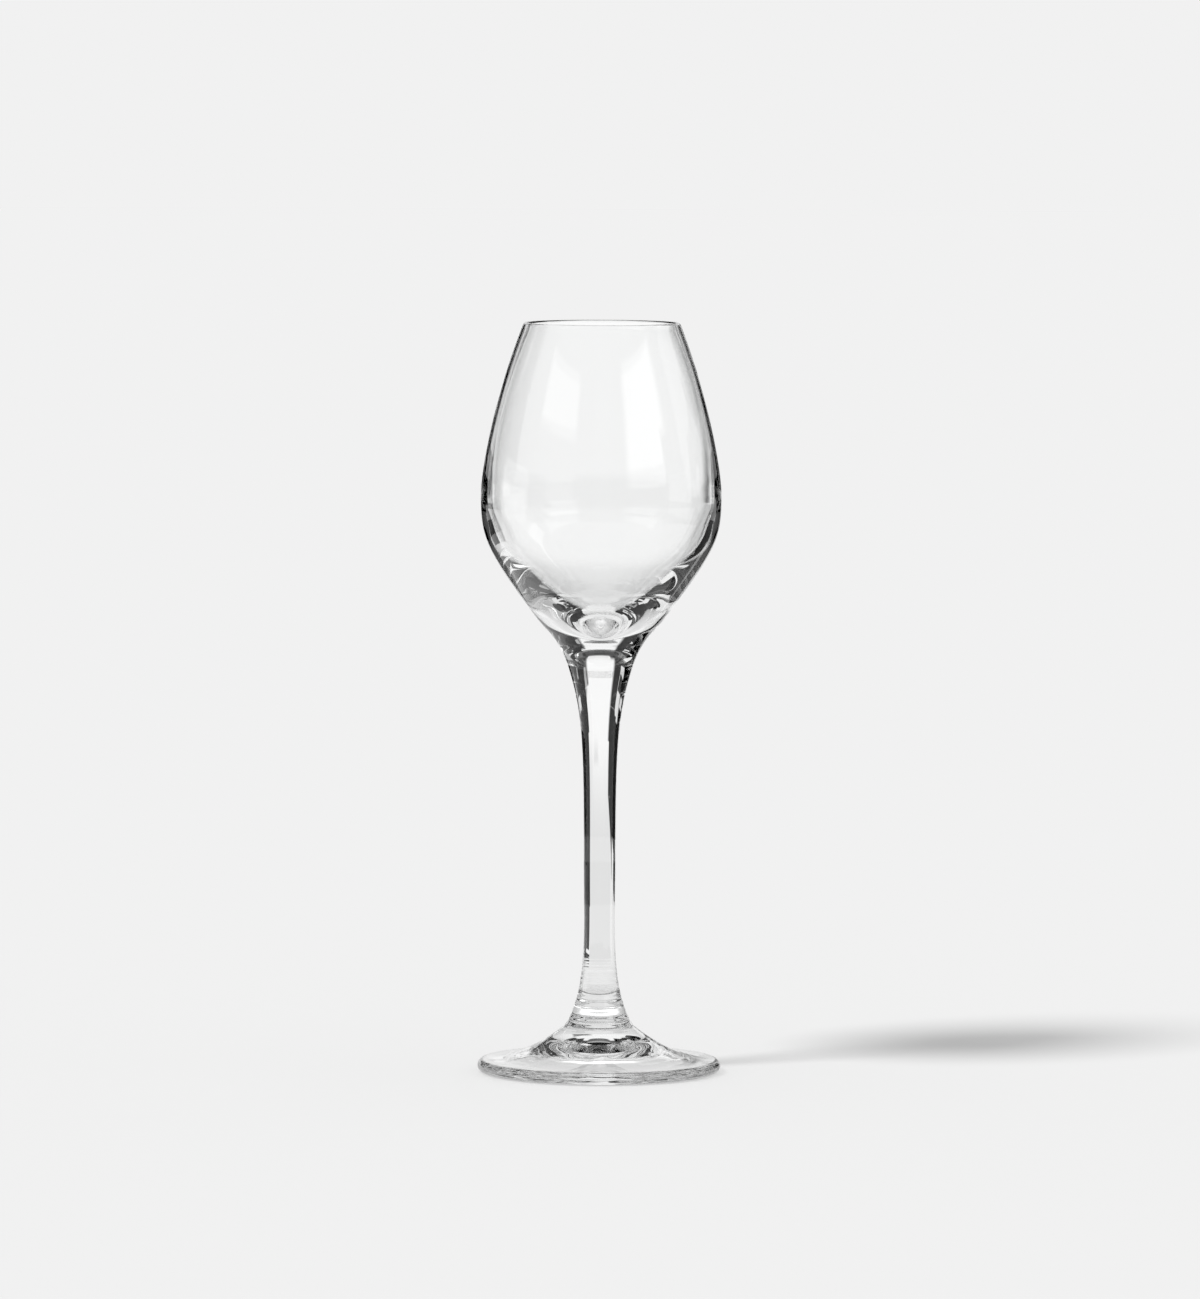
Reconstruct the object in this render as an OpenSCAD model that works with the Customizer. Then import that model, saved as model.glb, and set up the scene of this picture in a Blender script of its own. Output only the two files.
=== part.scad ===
// Stemmed liqueur glass: a blown bowl, a drawn stem and a pressed foot,
// fused end to end on one vertical axis. It stands on z = 0, +Z up, millimetres.

/* [Overall] */
// Height from the table to the top of the rim
total_h = 180; // [170:1:195]

/* [Bowl] */
// Height of the bowl, from its fusing line with the stem to the rim
bowl_h = 83; // [80:1:88]
// Outside diameter at the rim
rim_d = 37.8; // [35:0.2:41]
// Outside diameter at the widest point
bowl_d = 57.7; // [54:0.1:61]
// Height of the widest point above the fusing line
widest_h = 42; // [39:0.2:44]
// Glass thickness at the fire-polished rim
rim_t = 1.1; // [0.9:0.1:1.6]
// Glass thickness at the widest point
wall_t = 1.5; // [1.2:0.1:2]
// Solid glass under the cavity, down to the fusing line
base_t = 10; // [8:0.5:13]

/* [Stem] */
// Diameter at the fusing line with the bowl
stem_top_d = 15.2; // [14:0.2:16.4]
// Diameter at the waist
stem_d = 7.7; // [7:0.1:8.6]
// Height of the waist above the table
waist_z = 52; // [46:1:58]
// Diameter at the fusing line with the foot
stem_foot_d = 9.8; // [9.2:0.1:10.6]

/* [Foot] */
// Height of the fusing line between stem and foot
foot_h = 20; // [18:0.5:22]
// Outside diameter
foot_d = 58.5; // [54:0.1:64]
// Thickness of the rounded edge
edge_t = 3; // [2.4:0.1:3.8]
// Width of the flat ring that it stands on
ring_w = 5.2; // [4:0.2:7]
// Depth of the hollow under the foot
dish_h = 5.7; // [3:0.1:6.5]

/* [Hidden] */

// Round parts are true surfaces of revolution
$fn = 160;

// Clear, colourless glass
glass = [0.93, 0.95, 0.95, 0.45];

// Fusing lines: height, radius, lean of the outline, depth of the domed joint face
top_z = total_h - bowl_h;
top_r = stem_top_d / 2;
top_lean = -17;
top_sag = 1.4;
low_z = foot_h;
low_r = stem_foot_d / 2;
low_lean = 11;
low_sag = 1.8;

// Rim: the wall leans in by this angle and ends in a half-round lip
rim_lean = 22;
lip_r = rim_t / 2;
lip_c = [rim_d / 2 - cos(rim_lean) * lip_r, total_h - lip_r];

// Widest point, inside and outside; below it the inside turns in sooner, so the wall thickens
belly = [bowl_d / 2, top_z + widest_h];
belly_in = [bowl_d / 2 - wall_t, top_z + widest_h + 0.1];
turn_in = [bowl_d / 2 - 7.43, top_z + 26];
turn_lean = -40.5;
cavity_z = top_z + base_t;

// Flank under the belly, where the outline turns from bulging to hollow
flank = [top_r + 7.6, top_z + 12];
flank_lean = -37.3;

// Waist of the stem
waist = [stem_d / 2, waist_z];

// Foot: neck below the collar, rounded edge, flat standing ring, hollow inside it
neck = [low_r + 3.45, foot_h - 9];
neck_lean = 49;
edge_r = edge_t / 2;
edge_c = [foot_d / 2 - edge_r, edge_r];
edge_lean = 88.5;
ring_in = edge_c[0] - ring_w;

// Direction down the outline, leaning outwards by angle a
function down(a) = [sin(a), -cos(a)];

// Cubic curve through four control points
function cubic(a, b, c, d, n) =
    [for (i = [0:n]) let (t = i / n, u = 1 - t)
        u * u * u * a + 3 * u * u * t * b + 3 * u * t * t * c + t * t * t * d];

// Smooth stretch of outline from p to q, with the lean and pull at each end
function stretch(p, q, lean_p, lean_q, pull_p, pull_q, n) =
    let (s = norm(q - p))
    cubic(p, p + down(lean_p) * pull_p * s, q - down(lean_q) * pull_q * s, q, n);

// Arc about c, from angle a to angle b
function arc(c, r, a, b, n) =
    [for (i = [0:n]) let (t = a + (b - a) * i / n) c + r * [cos(t), sin(t)]];

// Domed joint face, from the outline to the axis
function dome(z, r, sag, n) =
    [for (i = [0:n]) let (x = r * (1 - i / n)) [x, z - sag * (1 - pow(x / r, 2))]];

// All but the last point of a list, and a list turned round
function trim(v) = [for (i = [0:len(v) - 2]) v[i]];
function turned(v) = [for (i = [len(v) - 1:-1:0]) v[i]];

// Outlines, from the top down
lip = arc(lip_c, lip_r, 180 + rim_lean, rim_lean, 12);
bowl_out = concat(
    trim(stretch(lip[12], belly, rim_lean, 0, 0.39, 0.15, 26)),
    trim(stretch(belly, flank, 0, flank_lean, 0.29, 0.67, 24)),
    stretch(flank, [top_r, top_z], flank_lean, top_lean, 0.27, 0.53, 14));
bowl_in = concat(
    trim(stretch(lip[0], belly_in, rim_lean, 0, 0.57, 0.09, 24)),
    trim(stretch(belly_in, turn_in, 0, turn_lean, 0.14, 0.54, 16)),
    stretch(turn_in, [0, cavity_z], turn_lean, -90, 0.5, 0.12, 20));
stem_out = concat(
    trim(stretch([top_r, top_z], waist, top_lean, 0, 0.24, 0.62, 30)),
    stretch(waist, [low_r, low_z], 0, low_lean, 0.42, 0.28, 24));
foot_out = concat(
    trim(stretch([low_r, low_z], neck, low_lean, neck_lean, 0.38, 0.15, 16)),
    trim(stretch(neck, edge_c + edge_r * [cos(edge_lean), sin(edge_lean)],
        neck_lean, edge_lean, 0.17, 0.44, 24)),
    arc(edge_c, edge_r, edge_lean, -90, 18));
foot_under = [for (i = [0:16]) let (x = ring_in * (1 - i / 16))
    [x, dish_h * (1 - pow(x / ring_in, 1.7))]];
top_face = dome(top_z, top_r, top_sag, 8);
low_face = dome(low_z, low_r, low_sag, 8);

// Blown cup with its thick base, which ends in a shallow dome
module bowl() {
    color(glass)
    rotate_extrude()
    polygon(concat(trim(turned(bowl_in)), trim(lip), trim(bowl_out), top_face));
}

// Drawn stem: its cupped top takes the bowl, its lower end is domed
module stem() {
    color(glass)
    rotate_extrude()
    polygon(concat(turned(top_face), trim([for (i = [1:len(stem_out) - 1]) stem_out[i]]), low_face));
}

// Pressed foot: its cupped collar takes the stem, its underside is hollow
module foot() {
    color(glass)
    rotate_extrude()
    polygon(concat(turned(low_face), [for (i = [1:len(foot_out) - 1]) foot_out[i]], foot_under));
}

bowl();
stem();
foot();
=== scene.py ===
import math

import bpy
import numpy as np
from mathutils import Euler, Matrix, Vector


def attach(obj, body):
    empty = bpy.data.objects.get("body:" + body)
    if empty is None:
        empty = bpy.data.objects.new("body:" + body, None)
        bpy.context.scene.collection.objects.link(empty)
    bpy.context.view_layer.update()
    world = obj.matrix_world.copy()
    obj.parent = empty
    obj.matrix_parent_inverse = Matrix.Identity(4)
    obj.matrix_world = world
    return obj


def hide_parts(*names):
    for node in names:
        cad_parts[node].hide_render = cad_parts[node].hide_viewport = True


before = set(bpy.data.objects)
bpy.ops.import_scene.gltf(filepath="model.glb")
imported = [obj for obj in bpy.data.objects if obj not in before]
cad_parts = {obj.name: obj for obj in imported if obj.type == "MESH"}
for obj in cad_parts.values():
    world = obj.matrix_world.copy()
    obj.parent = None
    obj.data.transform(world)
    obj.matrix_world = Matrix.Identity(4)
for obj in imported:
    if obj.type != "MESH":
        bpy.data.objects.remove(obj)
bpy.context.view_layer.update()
scene = bpy.context.scene
MM = 0.001


# ---------------------------------------------------------------- outline of the glass, millimetres (radius, height)

def down(a):
    return np.array([math.sin(math.radians(a)), -math.cos(math.radians(a))])


def cubic(a, b, c, d, n):
    t = np.linspace(0.0, 1.0, n + 1)[:, None]
    u = 1.0 - t
    a, b, c, d = (np.asarray(v, float) for v in (a, b, c, d))
    return u**3 * a + 3 * u * u * t * b + 3 * u * t * t * c + t**3 * d


def stretch(p, q, lean_p, lean_q, pull_p, pull_q, n):
    p, q = np.asarray(p, float), np.asarray(q, float)
    s = np.linalg.norm(q - p)
    return cubic(p, p + down(lean_p) * pull_p * s, q - down(lean_q) * pull_q * s, q, n)


def arc(c, r, a, b, n):
    t = np.radians(np.linspace(a, b, n + 1))
    return np.asarray(c, float) + r * np.c_[np.cos(t), np.sin(t)]


def dome(z, r, sag, n):
    x = r * (1.0 - np.arange(n + 1) / n)
    return np.c_[x, z - sag * (1.0 - (x / r) ** 2)]


TOTAL_H = 180.0
TOP = np.array([7.6, 97.0])
TOP_LEAN, TOP_SAG = -17.0, 1.4
LOW = np.array([4.9, 20.0])
LOW_LEAN, LOW_SAG = 11.0, 1.8
RIM_LEAN, LIP_R = 22.0, 0.55
LIP_C = np.array([18.9 - math.cos(math.radians(RIM_LEAN)) * LIP_R, TOTAL_H - LIP_R])
BELLY = np.array([28.85, 139.0])
BELLY_IN = np.array([27.35, 139.1])
TURN_IN, TURN_LEAN = np.array([21.42, 123.0]), -40.5
CAVITY_Z = 107.0
FLANK, FLANK_LEAN = np.array([15.2, 109.0]), -37.3
WAIST = np.array([3.85, 52.0])
NECK, NECK_LEAN = np.array([8.35, 11.0]), 49.0
EDGE_R, EDGE_LEAN = 1.5, 88.5
EDGE_C = np.array([29.25 - EDGE_R, EDGE_R])
RING_IN = EDGE_C[0] - 5.2
DISH_H = 5.7

lip = arc(LIP_C, LIP_R, 180.0 + RIM_LEAN, RIM_LEAN, 20)
bowl_out = np.vstack([
    stretch(lip[-1], BELLY, RIM_LEAN, 0, 0.39, 0.15, 70)[1:],
    stretch(BELLY, FLANK, 0, FLANK_LEAN, 0.29, 0.67, 64)[1:],
    stretch(FLANK, TOP, FLANK_LEAN, TOP_LEAN, 0.27, 0.53, 40)[1:],
])
bowl_in = np.vstack([
    stretch(lip[0], BELLY_IN, RIM_LEAN, 0, 0.57, 0.09, 64)[:-1],
    stretch(BELLY_IN, TURN_IN, 0, TURN_LEAN, 0.14, 0.54, 40)[:-1],
    stretch(TURN_IN, [0, CAVITY_Z], TURN_LEAN, -90, 0.5, 0.12, 60),
])
stem_out = np.vstack([
    stretch(TOP, WAIST, TOP_LEAN, 0, 0.24, 0.62, 80)[:-1],
    stretch(WAIST, LOW, 0, LOW_LEAN, 0.42, 0.28, 60),
])
foot_out = np.vstack([
    stretch(LOW, NECK, LOW_LEAN, NECK_LEAN, 0.38, 0.15, 44)[:-1],
    stretch(NECK, EDGE_C + EDGE_R * np.array([math.cos(math.radians(EDGE_LEAN)), math.sin(math.radians(EDGE_LEAN))]),
            NECK_LEAN, EDGE_LEAN, 0.17, 0.44, 64)[:-1],
    arc(EDGE_C, EDGE_R, EDGE_LEAN, -90, 36),
])
under_x = RING_IN * (1.0 - np.arange(133) / 132)
under_fade = np.clip(np.minimum(RING_IN - under_x, under_x) / 3.0, 0.0, 1.0)
under_wave = 0.5 - 0.5 * np.cos(2 * math.pi * under_x / 4.6)
foot_under = np.c_[under_x, DISH_H * (1.0 - (under_x / RING_IN) ** 1.7) + 0.04 * under_fade * under_wave]


def fine(p, lo, hi, step):
    """The same curve with points no further apart than step between the heights lo and hi."""
    out = [p[0]]
    for a, b in zip(p[:-1], p[1:]):
        n = 1
        if hi > 0.5 * (a[1] + b[1]) > lo:
            n = max(1, math.ceil(np.linalg.norm(b - a) / step))
        out.extend(a + (b - a) * k / n for k in range(1, n + 1))
    return np.array(out)


def rings(p, lo, hi, pitch, depth, fade, second=0.45):
    """Drawing rings: shallow waves of the outline between the heights lo and hi, dying out at both ends."""
    z = p[:, 1]
    w = np.clip(np.minimum(z - lo, hi - z) / fade, 0.0, 1.0)
    w = w * w * (3.0 - 2.0 * w)
    t = np.gradient(p, axis=0)
    t /= np.linalg.norm(t, axis=1)[:, None]
    s = np.r_[0.0, np.cumsum(np.linalg.norm(np.diff(p, axis=0), axis=1))]
    wave = np.sin(2 * math.pi * s / pitch) + second * np.sin(2 * math.pi * s / (pitch * 0.63) + 1.1)
    return p + (-depth * w * wave)[:, None] * np.c_[-t[:, 1], t[:, 0]]


stem_out = fine(fine(stem_out, 20, 30, 0.15), 92, 97, 0.15)
stem_out[1:-1] = rings(stem_out, 20, 28, 1.3, 0.012, 2.5)[1:-1]
foot_out = fine(foot_out, 9, 20, 0.15)
foot_out[1:-1] = rings(foot_out, 9.6, 17.5, 1.9, 0.03, 1.5, 0.0)[1:-1]
top_face = dome(TOP[1], TOP[0], TOP_SAG, 10)
low_face = dome(LOW[1], LOW[0], LOW_SAG, 10)


# ---------------------------------------------------------------- solids of revolution

SEG = 480


def press_marks(r, z, ang):
    """How far the pressed foot's upper side and edge lie under the true outline, all round: (inwards, down)."""
    w = min(max((r - 12.0) / 6.0, 0.0), 1.0) * min(max((z - 0.4) / 1.2, 0.0), 1.0)
    wave = (np.sin(7 * ang + 0.35 * r) + 0.8 * np.sin(11 * ang - 0.5 * r + 1.0)
            + 0.6 * np.sin(19 * ang + 0.6 * r + 2.0) + 2.4) / 4.8
    edge = min(max((r - 27.6) / 1.2, 0.0), 1.0)
    return 0.09 * w * edge * wave, 0.09 * w * (1.0 - edge) * wave


def lathe(name, runs, materials, marks=None):
    """runs: [(points, material index)], one chain from the axis to the axis. A piece's own outward side is to the right of the chain."""
    pts, mat = [], []
    for p, m in runs:
        start = 0 if not pts else 1
        for k in range(start, len(p)):
            pts.append(p[k])
            if len(pts) > 1:
                mat.append(m)
    pts = np.array(pts) * (0.9997, 0.9999)  # a hair inside the CAD box
    verts, rows = [], []
    ang = 2 * math.pi * np.arange(SEG) / SEG
    for r, z in pts:
        if r < 1e-6:
            rows.append([len(verts)])
            verts.append((0.0, 0.0, z * MM))
        else:
            rows.append(list(range(len(verts), len(verts) + SEG)))
            inwards, lower = marks(r, z, ang) if marks else (0.0, np.zeros(SEG))
            verts.extend(zip((r - inwards) * MM * np.cos(ang), (r - inwards) * MM * np.sin(ang), (z - lower) * MM))
    faces, fmat, sharp_rows = [], [], []
    for i in range(len(rows) - 1):
        a, b = rows[i], rows[i + 1]
        for j in range(SEG):
            k = (j + 1) % SEG
            if len(a) == 1:
                faces.append((a[0], b[k], b[j]))
            elif len(b) == 1:
                faces.append((a[j], a[k], b[0]))
            else:
                faces.append((a[j], a[k], b[k], b[j]))
            fmat.append(mat[i])
        if i and mat[i] != mat[i - 1]:
            sharp_rows.append(i)
    me = bpy.data.meshes.new(name)
    me.from_pydata([tuple(float(c) for c in v) for v in verts], [], faces)
    me.update()
    for m in materials:
        me.materials.append(m)
    me.polygons.foreach_set("material_index", fmat)
    me.polygons.foreach_set("use_smooth", [True] * len(faces))
    ring = set()
    for i in sharp_rows:
        ring.update(frozenset((rows[i][j], rows[i][(j + 1) % SEG])) for j in range(SEG))
    for e in me.edges:
        if frozenset(e.vertices) in ring:
            e.use_edge_sharp = True
    # outward faces
    import bmesh
    bm = bmesh.new()
    bm.from_mesh(me)
    if bm.calc_volume(signed=True) < 0:
        bmesh.ops.reverse_faces(bm, faces=bm.faces)
        bm.to_mesh(me)
    bm.free()
    ob = bpy.data.objects.new(name, me)
    scene.collection.objects.link(ob)
    return ob


# ---------------------------------------------------------------- materials

def new_material(name):
    m = bpy.data.materials.new(name)
    m.use_nodes = True
    m.node_tree.nodes.clear()
    return m, m.node_tree.nodes, m.node_tree.links


def glass_material(name, shade):
    """Clear glass; shade is what one face of it lets through to the shadow on the table."""
    m, n, l = new_material(name)
    out = n.new("ShaderNodeOutputMaterial")
    body = n.new("ShaderNodeBsdfPrincipled")
    body.inputs["Base Color"].default_value = (0.995, 0.998, 0.997, 1)
    body.inputs["IOR"].default_value = 1.52
    body.inputs["Transmission Weight"].default_value = 1.0
    # fire polish: almost even, with a faint waviness of the skin
    where = n.new("ShaderNodeTexCoord")
    haze = n.new("ShaderNodeTexNoise")
    haze.inputs["Scale"].default_value = 40.0
    haze.inputs["Detail"].default_value = 3.0
    spread = n.new("ShaderNodeMapRange")
    spread.inputs["From Min"].default_value = 0.35
    spread.inputs["From Max"].default_value = 0.75
    spread.inputs["To Min"].default_value = 0.0
    spread.inputs["To Max"].default_value = 0.004
    skin = n.new("ShaderNodeTexNoise")
    skin.inputs["Scale"].default_value = 95.0
    skin.inputs["Detail"].default_value = 1.0
    bump = n.new("ShaderNodeBump")
    bump.inputs["Strength"].default_value = 1.0
    bump.inputs["Distance"].default_value = 0.00002
    l.new(where.outputs["Object"], haze.inputs["Vector"])
    l.new(where.outputs["Object"], skin.inputs["Vector"])
    l.new(haze.outputs["Fac"], spread.inputs["Value"])
    l.new(spread.outputs["Result"], body.inputs["Roughness"])
    l.new(skin.outputs["Fac"], bump.inputs["Height"])
    l.new(bump.outputs["Normal"], body.inputs["Normal"])
    thru = n.new("ShaderNodeBsdfTransparent")
    thru.inputs["Color"].default_value = (shade, shade, shade, 1)
    path = n.new("ShaderNodeLightPath")
    mix = n.new("ShaderNodeMixShader")
    l.new(path.outputs["Is Shadow Ray"], mix.inputs["Fac"])
    l.new(body.outputs["BSDF"], mix.inputs[1])
    l.new(thru.outputs["BSDF"], mix.inputs[2])
    l.new(mix.outputs["Shader"], out.inputs["Surface"])
    return m


def seam_material(name, ior):
    """The fused joint: glass to glass, so light crosses it all but unbent."""
    m, n, l = new_material(name)
    out = n.new("ShaderNodeOutputMaterial")
    body = n.new("ShaderNodeBsdfRefraction")
    body.inputs["Color"].default_value = (1, 1, 1, 1)
    body.inputs["Roughness"].default_value = 0.0
    body.inputs["IOR"].default_value = ior
    thru = n.new("ShaderNodeBsdfTransparent")
    path = n.new("ShaderNodeLightPath")
    mix = n.new("ShaderNodeMixShader")
    l.new(path.outputs["Is Shadow Ray"], mix.inputs["Fac"])
    l.new(body.outputs["BSDF"], mix.inputs[1])
    l.new(thru.outputs["BSDF"], mix.inputs[2])
    l.new(mix.outputs["Shader"], out.inputs["Surface"])
    return m


GLASS, FOOT_GLASS = glass_material("clear_glass", 0.63), glass_material("clear_glass_foot", 0.93)
SEAM, FOOT_SEAM = seam_material("fused_seam", 1.0), seam_material("fused_seam_foot", 1.03)

bowl = lathe("glass_bowl", [(bowl_in[::-1], 0), (lip, 0), (np.vstack([lip[-1:], bowl_out]), 0), (top_face, 1)], [GLASS, SEAM])
stem = lathe("glass_stem", [(top_face[::-1], 1), (stem_out, 0), (low_face, 2)], [GLASS, SEAM, FOOT_SEAM])
foot = lathe("glass_foot", [(low_face[::-1], 1), (foot_out, 0), (np.vstack([foot_out[-1:], foot_under]), 0)],
             [FOOT_GLASS, FOOT_SEAM], press_marks)
for ob, node in ((bowl, "bowl"), (stem, "stem"), (foot, "foot")):
    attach(ob, "root")
    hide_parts(node)


# ---------------------------------------------------------------- studio

PALE = 0.8795


def emission(name, colour, strength):
    m, n, l = new_material(name)
    out = n.new("ShaderNodeOutputMaterial")
    e = n.new("ShaderNodeEmission")
    e.inputs["Color"].default_value = (*colour, 1)
    e.inputs["Strength"].default_value = strength
    l.new(e.outputs["Emission"], out.inputs["Surface"])
    m.cycles.emission_sampling = "NONE"
    return m


def floor_material():
    m, n, l = new_material("pale_floor")
    out = n.new("ShaderNodeOutputMaterial")
    d = n.new("ShaderNodeBsdfDiffuse")
    d.inputs["Color"].default_value = (0.4, 0.4, 0.4, 1)
    e = n.new("ShaderNodeEmission")
    e.inputs["Strength"].default_value = 0.0477
    add = n.new("ShaderNodeAddShader")
    l.new(d.outputs["BSDF"], add.inputs[0])
    l.new(e.outputs["Emission"], add.inputs[1])
    l.new(add.outputs["Shader"], out.inputs["Surface"])
    return m


def only_in_glass(ob):
    ob.visible_camera = False
    ob.visible_diffuse = False
    ob.visible_shadow = False
    ob.visible_volume_scatter = False


def glow(name, verts, faces, fade, value):
    """A stage mesh that shines evenly, let through where its fade falls to nought; seen by the glass alone."""
    me = bpy.data.meshes.new(name)
    me.from_pydata([tuple(float(c) for c in v) for v in verts], [], faces)
    me.attributes.new("fade", "FLOAT", "POINT").data.foreach_set("value", np.array(fade, dtype=np.float32))
    m, nd, l = new_material(name)
    out = nd.new("ShaderNodeOutputMaterial")
    e = nd.new("ShaderNodeEmission")
    e.inputs["Strength"].default_value = value
    thru = nd.new("ShaderNodeBsdfTransparent")
    att = nd.new("ShaderNodeAttribute")
    att.attribute_name = "fade"
    mix = nd.new("ShaderNodeMixShader")
    l.new(att.outputs["Fac"], mix.inputs["Fac"])
    l.new(thru.outputs["BSDF"], mix.inputs[1])
    l.new(e.outputs["Emission"], mix.inputs[2])
    l.new(mix.outputs["Shader"], out.inputs["Surface"])
    m.cycles.emission_sampling = "NONE"
    me.materials.append(m)
    ob = bpy.data.objects.new(name, me)
    scene.collection.objects.link(ob)
    only_in_glass(ob)
    return ob


def card(name, r, phi0, phi1, z0, z1, value, fade_phi=0.5, fade_z=4.0):
    """An upright curved card round the glass, feathered at its edges. Angles are counted from straight behind
    the glass (+Y), positive to the left (-X); heights and radius in millimetres. An angle given as a pair
    (at the lower edge, at the upper edge) makes a slanting side."""
    ease = np.array([0.0, 0.1, 0.3, 0.5, 0.7, 0.9, 1.0])
    heights = np.concatenate([z0 + ease * fade_z, np.linspace(z0 + fade_z, z1 - fade_z, 7)[1:-1], z1 - ease[::-1] * fade_z])
    n = 15 + int(abs(np.mean(phi1) - np.mean(phi0)) / 3)
    verts, fade, faces = [], [], []
    for z in heights:
        k = (z - z0) / (z1 - z0)
        lo, hi = (p if np.isscalar(p) else p[0] + (p[1] - p[0]) * k for p in (phi0, phi1))
        phi = np.concatenate([lo + ease * fade_phi, np.linspace(lo + fade_phi, hi - fade_phi, n - 12)[1:-1], hi - ease[::-1] * fade_phi])
        f = np.clip(np.minimum(phi - lo, hi - phi) / fade_phi, 0.0, 1.0)
        f = np.minimum(f, min(1.0, max(0.0, min(z - z0, z1 - z) / fade_z)))
        fade.extend(f * f * (3.0 - 2.0 * f))
        verts.extend(zip(-np.sin(np.radians(phi)) * r * MM, np.cos(np.radians(phi)) * r * MM, [z * MM] * len(phi)))
    n = len(verts) // len(heights)
    for j in range(len(heights) - 1):
        for i in range(n - 1):
            faces.append((j * n + i, j * n + i + 1, (j + 1) * n + i + 1, (j + 1) * n + i))
    return glow(name, verts, faces, fade, value)


def table_card(name, stops, z, value, phi0=-180.0, phi1=180.0, n=96):
    """A flat card on the table, whole or a sector of it; stops: (radius, fade)."""
    whole = phi1 - phi0 >= 360
    a = np.radians(np.linspace(phi0, phi1, n + 1))[: n if whole else n + 1]
    m = len(a)
    verts, fade, faces = [], [], []
    for r, f in stops:
        verts.extend(zip(-np.sin(a) * r * MM, np.cos(a) * r * MM, [z * MM] * m))
        fade.extend([f] * m)
    for j in range(len(stops) - 1):
        for i in range(m if whole else m - 1):
            k = (i + 1) % m
            faces.append((j * m + i, (j + 1) * m + i, (j + 1) * m + k, j * m + k))
    return glow(name, verts, faces, fade, value)


def disc(name, r, z, material, n=96):
    me = bpy.data.meshes.new(name)
    v = [(r * math.cos(2 * math.pi * i / n), r * math.sin(2 * math.pi * i / n), z) for i in range(n)]
    me.from_pydata(v, [], [tuple(range(n))])
    me.materials.append(material)
    ob = bpy.data.objects.new(name, me)
    scene.collection.objects.link(ob)
    return ob


floor = disc("floor", 9.0, -0.0002, floor_material())

# what the glass sees round it; none of these is in the picture itself
card("wall_back_foot", 622, -85, 30, -1, 260, 0.79, 0.3, 1)
card("grey_back_right", 616, -16, -2.5, 42, 210, 0.22, 4, 14)
card("wall_back", 620, -85, 30, 0, 680, 0.95, 0.3, 110)
card("wall_belt", 619, -32, 26, 60, 150, 0.96, 3, 30)
card("bowl_back", 153, -19, 19, 40, 215, 0.99, 4, 45)
card("wall_left", 620.2, 70, 110, -1, 190, 0.93, 0.5, 1)
card("wall_front", 624, 110, 208, -1, 600, 0.12, 0.3, 1)
card("wall_front_mid", 960, 206, 244, -1, 900, 0.12, 0.3, 1)
card("wall_front_right", 624.2, 242, 275, -1, 600, 0.12, 0.3, 1)
# flags close behind the glass, left and right
card("flag_left_high", 428, (14.3, 11.8), (30.8, 29.8), 140, 300, 0.0, 0.4, 2)
card("flag_left_stem", 150.05, 30, 52, 127, 146, 0.0, 0.5, 1)
card("flag_left_bend", 428.1, 14.3, (37.3, 30.8), 106, 141, 0.0, 0.4, 1)
card("flag_left_mid", 428.2, 15, 37.3, 78, 107, 0.0, 0.4, 0.5)
card("flag_left_low", 215, (20.5, 18.5), 37.5, 50, 108, 0.0, 0.4, 1)
card("flag_left_skirt", 215.1, (36.5, 20.5), 37.5, 27, 51, 0.0, 0.4, 1)
card("pale_left_near", 150.8, 45, 61, 114.5, 132.5, 0.85, 0.5, 1)
card("flag_right_high", 150.4, (-38, -35), (-22.5, -19), 140, 205, 0.0, 0.5, 2)
card("flag_right_stem", 150.45, -52, -36, 130, 146, 0.0, 0.5, 1)
card("flag_right_bend", 150.5, (-44.5, -38), (-24, -22.5), 122, 142, 0.0, 0.5, 1)
card("flag_right_mid", 150.6, -44.5, -24, 111, 124, 0.0, 0.5, 0.5)
card("flag_right_wide", 150.65, -64, -24, 85, 112, 0.0, 0.5, 1)
card("flag_right_low", 150.7, -43.5, (-29, -26), 3, 87, 0.0, 0.5, 1)
card("pale_right_near", 150.9, -61, -45, 114.5, 132.5, 0.8, 0.5, 1)
table_card("table_back", [(115, 0), (135, 1), (621.5, 1)], -0.08, 0.78, -27, 33, 20)
table_card("flag_right_table", [(120, 0), (126, 1), (151, 1), (153, 0)], -0.05, 0.0, -64, -27, 24)
table_card("flag_right_table_far", [(150, 0), (152, 1), (429, 1), (430, 0)], -0.05, 0.0, -76, -44, 24)
# further out, left
card("dark_left_low", 482, 27, 47, 18, 122, 0.0, 0.4, 1)
card("dark_left_foot", 482.1, (57, 27), 69, -0.1, 19, 0.0, 0.4, 0.1)
card("pale_left_high", 430.3, 30.5, (46, 41), 118, 300, 0.78, 0.5, 4)
card("dark_left", 482.4, 46, 69, 18, 530, 0.0, 0.5, 1)
card("dark_left_far", 600, 12.5, 47, 195, 680, 0.0, 0.5, 10)
card("dark_left_high", 600.2, 69, 111, 188, 680, 0.04, 0.3, 120)
card("dark_left_back", 640, 60, 120, -1, 300, 0.0, 0.5, 1)
card("flag_front_left", 150, 107, 120, 148, 196, 0.05, 1, 4)
card("dark_front_left", 600.4, 104, 158, 1, 330, 0.1, 1, 20)
card("box_front_left", 600.6, 106, 156, 352, 528, 0.95, 5, 20)
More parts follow.
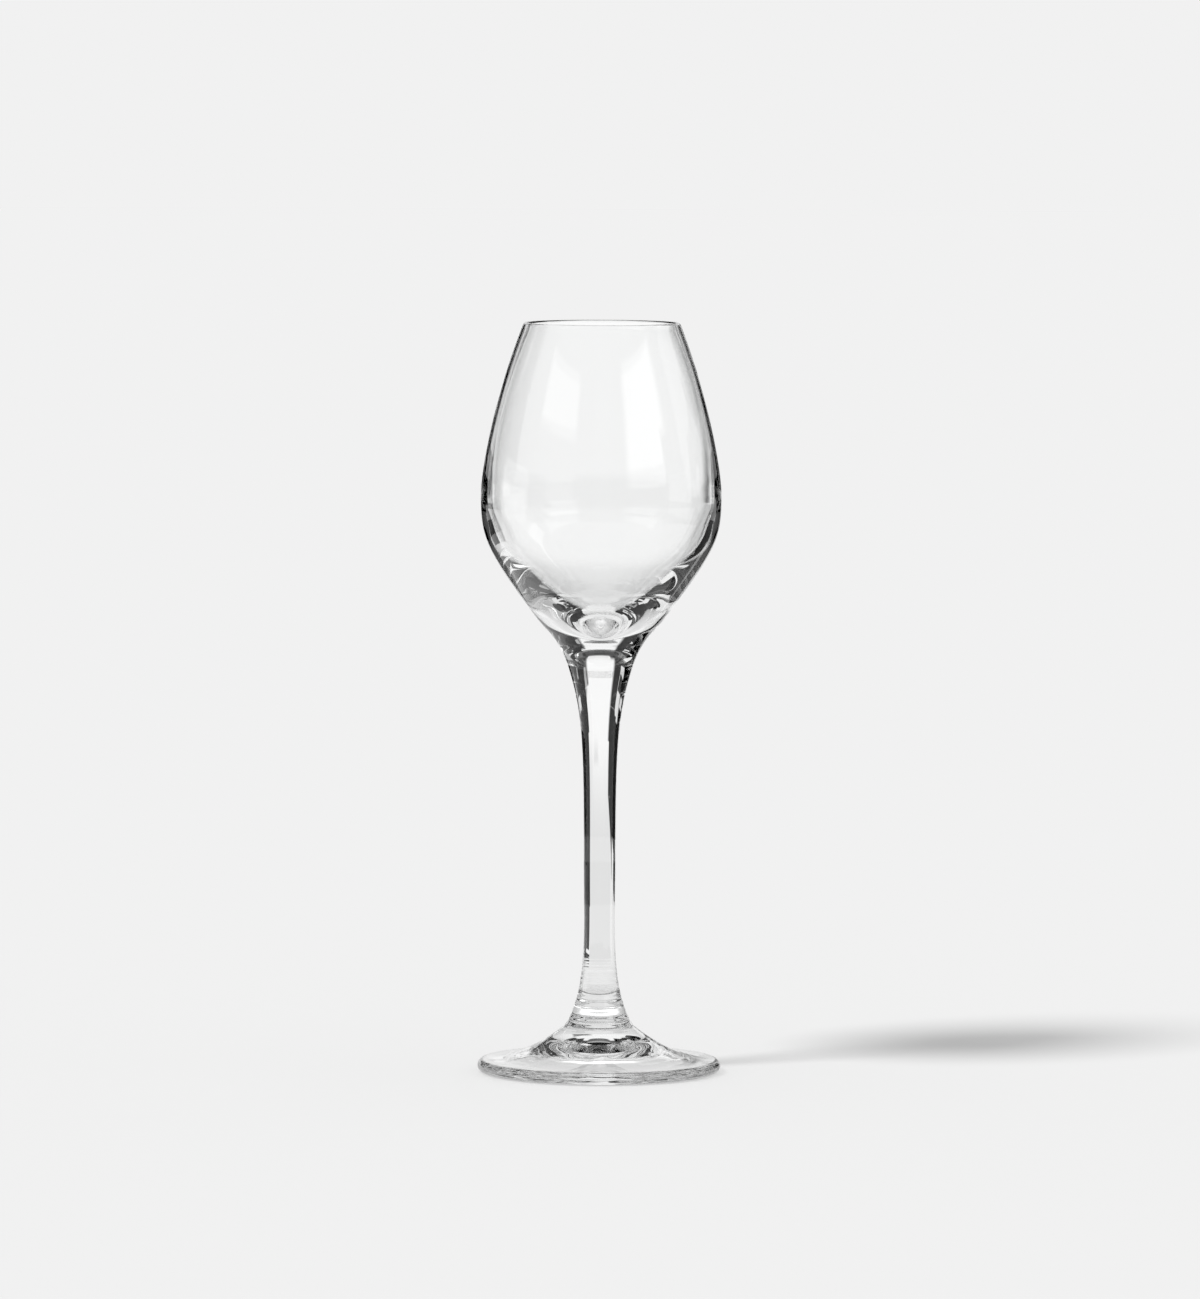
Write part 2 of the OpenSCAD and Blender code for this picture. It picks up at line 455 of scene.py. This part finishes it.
# further out, right
card("dark_right_low", 430, -37.5, -27, -0.1, 120, 0.0, 0.4, 0.1)
card("dark_right_foot", 430.1, -76, -37, -0.1, 120, 0.0, 0.4, 0.1)
card("pale_right_high", 430.4, (-46, -41), -30.5, 118, 300, 0.5, 0.5, 4)
card("flag_front_right", 150, -120, -107, 148, 196, 0.05, 1, 4)
card("dark_front_right", 600.9, -122, -88, 20, 226, 0.1, 1, 20)
card("dark_front_mid", 705, -152, -120, 40, 262, 0.1, 1, 20)
card("dark_front_low", 600.95, -160, -150, 20, 226, 0.1, 1, 20)
card("box_front_right", 601, -158, -106, 205, 560, 1.3, 8, 25)
card("dark_right_side", 601.1, -112, -70, 0, 120, 0.0, 1, 10)
card("grey_right_side", 601.2, -93, -60, 110, 490, 0.48, 1, 10)
card("grey_right", 601.3, -60.5, (-34, -20), 100, 235, 0.45, 0.5, 10)
card("grey_right_top", 601.4, -40, -20, 230, 330, 0.45, 0.5, 10)
card("dark_right_top", 601.5, -60.5, -17, 230, 680, 0.05, 0.5, 10)
card("box_right", 601.6, -85, -52, 500, 720, 1.6, 2, 10)
table_card("table_glow", [(0.5, 1), (45, 1), (60, 0.85), (80, 0.5), (100, 0.15), (115, 0)], -0.1, 0.82)
# painted pool of light: a bright glowing disc on the table under the stem, seen only through the glass
table_card("table_painted_light_pool", [(0.3, 1), (8, 1), (11, 0)], -0.09, 1.35)
# painted shade: a grey glowing ring on the table under the foot, where the foot's shade falls, seen only through the
# glass
table_card("table_painted_shade_ring", [(8.5, 0), (11, 1), (30, 1), (34, 0)], -0.085, 0.65)
ceiling = disc("ceiling", 0.63, 1.05, emission("ceiling_black", (0, 0, 0), 0.0))
only_in_glass(ceiling)

world = bpy.data.worlds.new("studio")
scene.world = world
world.use_nodes = True
wn, wl = world.node_tree.nodes, world.node_tree.links
wn.clear()
w_out = wn.new("ShaderNodeOutputWorld")
w_pale = wn.new("ShaderNodeBackground")
w_pale.inputs["Color"].default_value = (PALE, PALE, PALE, 1)
w_dark = wn.new("ShaderNodeBackground")
w_dark.inputs["Color"].default_value = (0.15, 0.15, 0.15, 1)
w_path = wn.new("ShaderNodeLightPath")
w_mix = [wn.new("ShaderNodeMixShader") for _ in range(2)]
wl.new(w_path.outputs["Is Glossy Ray"], w_mix[0].inputs["Fac"])
wl.new(w_pale.outputs["Background"], w_mix[0].inputs[1])
wl.new(w_dark.outputs["Background"], w_mix[0].inputs[2])
wl.new(w_path.outputs["Is Transmission Ray"], w_mix[1].inputs["Fac"])
wl.new(w_mix[0].outputs["Shader"], w_mix[1].inputs[1])
wl.new(w_dark.outputs["Background"], w_mix[1].inputs[2])
wl.new(w_mix[1].outputs["Shader"], w_out.inputs["Surface"])

sun = bpy.data.lights.new("key", "SUN")
sun.energy = 4.91
sun.angle = math.radians(14.0)
key = bpy.data.objects.new("key", sun)
scene.collection.objects.link(key)
key.visible_glossy = False
key.visible_transmission = False
el, az = math.radians(50.2), math.radians(123.7)
to_light = Vector((-math.sin(az) * math.cos(el), math.cos(az) * math.cos(el), math.sin(el)))
key.rotation_mode = "QUATERNION"
key.rotation_quaternion = to_light.to_track_quat("Z", "Y")


# ---------------------------------------------------------------- camera: the photograph's viewing angle

cam_data = bpy.data.cameras.new("camera")
cam_data.sensor_width = 36.0
cam_data.lens = 8655.9 * 36.0 / 1299.0
cam_data.clip_end = 60.0
cam = bpy.data.objects.new("camera", cam_data)
scene.collection.objects.link(cam)
aim = Euler((math.radians(90.0 - 4.2148), 0.0, 0.0)).to_matrix().to_4x4()
roll = Matrix.Rotation(math.radians(0.23), 4, "Z")
cam.matrix_world = Matrix.Translation((-0.00012, -2.0692, 0.2541)) @ aim @ roll
scene.camera = cam

scene.view_settings.view_transform = "Standard"
scene.view_settings.look = "None"
scene.cycles.max_bounces = 40
scene.cycles.transmission_bounces = 40
scene.cycles.glossy_bounces = 24
scene.cycles.diffuse_bounces = 3
scene.cycles.transparent_max_bounces = 64
scene.cycles.caustics_reflective = True
scene.cycles.caustics_refractive = True
scene.cycles.blur_glossy = 0.0
scene.cycles.sample_clamp_indirect = 10.0
scene.cycles.use_denoising = True
